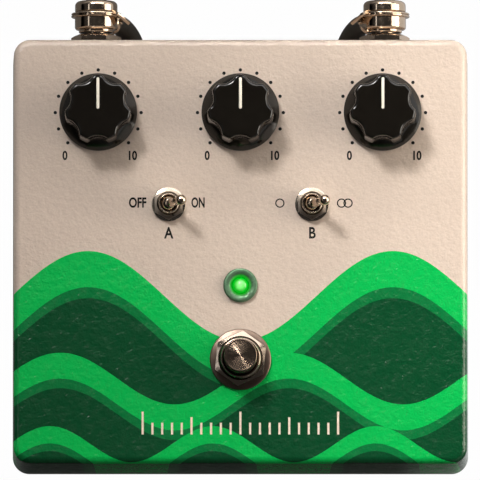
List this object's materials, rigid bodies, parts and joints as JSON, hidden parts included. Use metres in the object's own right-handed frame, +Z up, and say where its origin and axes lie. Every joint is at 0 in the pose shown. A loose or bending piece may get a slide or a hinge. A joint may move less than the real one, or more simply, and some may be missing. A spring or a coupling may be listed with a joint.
{
  "type": "echo effect pedal",
  "caption": "Compact floor echo pedal in a square die-cast case, with fluted knobs, toggles, a lamp and a stomp switch, a short patch lead plugged in its jacks.",
  "frame": {"origin": "the middle of the footprint on the ground, with the jack nuts counted in and the plugs left out", "axes": "+Z up out of the face with the controls, +Y towards the jacks, +X towards the right toggle as seen by the player"},
  "size_m": [0.132, 0.1372, 0.0557],
  "materials": {
    "powder_coat": "satin, fine orange peel, with printed green artwork",
    "bare_cast": "bare, matte",
    "plated_steel": "nickel plated",
    "bright_nickel": "polished nickel",
    "rubber": "matte",
    "knob_plastic": "glossy",
    "pointer_ivory": "satin",
    "housing_plastic": "satin",
    "lamp_green": "clear, lit",
    "bezel_metal": "polished",
    "board_green": "lacquered",
    "ribbon_grey": "satin",
    "lead_jacket": "satin"
  },
  "bodies": {
    "case": {"case_shell": "powder_coat", "base_cover": "powder_coat", "cover_screw_front_left": "plated_steel", "cover_screw_front_right": "plated_steel", "cover_screw_rear_left": "plated_steel", "cover_screw_rear_right": "plated_steel", "foot_front_left": "rubber", "foot_front_right": "rubber", "foot_rear_left": "rubber", "foot_rear_right": "rubber", "pot_nut_left": "plated_steel", "pot_body_left": "bare_cast", "pot_nut_centre": "plated_steel", "pot_body_centre": "bare_cast", "pot_nut_right": "plated_steel", "pot_body_right": "bare_cast", "toggle_nut_left": "plated_steel", "toggle_washer_left": "plated_steel", "toggle_body_left": "plated_steel", "toggle_nut_right": "plated_steel", "toggle_washer_right": "plated_steel", "toggle_body_right": "plated_steel", "stomp_nut": "plated_steel", "stomp_washer": "plated_steel", "stomp_body": "housing_plastic", "stomp_spring": "plated_steel", "status_lamp": "lamp_green", "lamp_bezel": "bezel_metal", "jack_body_left": "housing_plastic", "jack_nut_left": "plated_steel", "jack_washer_left": "plated_steel", "jack_body_right": "housing_plastic", "jack_nut_right": "plated_steel", "jack_washer_right": "plated_steel", "power_socket": "housing_plastic", "main_board": "board_green", "delay_chip": "housing_plastic", "switch_board": "board_green", "ribbon_cable": "ribbon_grey", "patch_lead": "lead_jacket", "plug_body_left": "bright_nickel", "plug_cap_left": "bright_nickel", "plug_body_right": "bright_nickel", "plug_cap_right": "bright_nickel"},
    "control_left": {"knob_left": "knob_plastic", "pointer_left": "pointer_ivory", "grub_screw_left": "plated_steel", "pot_shaft_left": "plated_steel"},
    "control_centre": {"knob_centre": "knob_plastic", "pointer_centre": "pointer_ivory", "grub_screw_centre": "plated_steel", "pot_shaft_centre": "plated_steel"},
    "control_right": {"knob_right": "knob_plastic", "pointer_right": "pointer_ivory", "grub_screw_right": "plated_steel", "pot_shaft_right": "plated_steel"},
    "lever_left": {"toggle_lever_left": "bright_nickel"},
    "lever_right": {"toggle_lever_right": "bright_nickel"},
    "button": {"stomp_button": "bright_nickel"}
  },
  "joints": [
    {"name": "knob_turn_left", "type": "hinge", "parent": "case", "child": "control_left", "pos_m": [-0.0411, 0.0387, 0.0406], "axis": [0, 0, 1], "range_deg": [-135, 135]},
    {"name": "knob_turn_centre", "type": "hinge", "parent": "case", "child": "control_centre", "pos_m": [0, 0.0387, 0.0406], "axis": [0, 0, 1], "range_deg": [-135, 135]},
    {"name": "knob_turn_right", "type": "hinge", "parent": "case", "child": "control_right", "pos_m": [0.0411, 0.0387, 0.0406], "axis": [0, 0, 1], "range_deg": [-135, 135]},
    {"name": "lever_tip_left", "type": "hinge", "parent": "case", "child": "lever_left", "pos_m": [-0.0207, 0.012, 0.0441], "axis": [0, 1, 0], "range_deg": [-40, 0]},
    {"name": "lever_tip_right", "type": "hinge", "parent": "case", "child": "lever_right", "pos_m": [0.0207, 0.012, 0.0441], "axis": [0, 1, 0], "range_deg": [-40, 0]},
    {"name": "stomp_press", "type": "slide", "parent": "case", "child": "button", "axis": [0, 0, 1], "range_m": [-0.0035, 0], "stiffness_N_per_m": 400, "springref_m": 0.002, "deforming": ["stomp_spring"]}
  ]
}
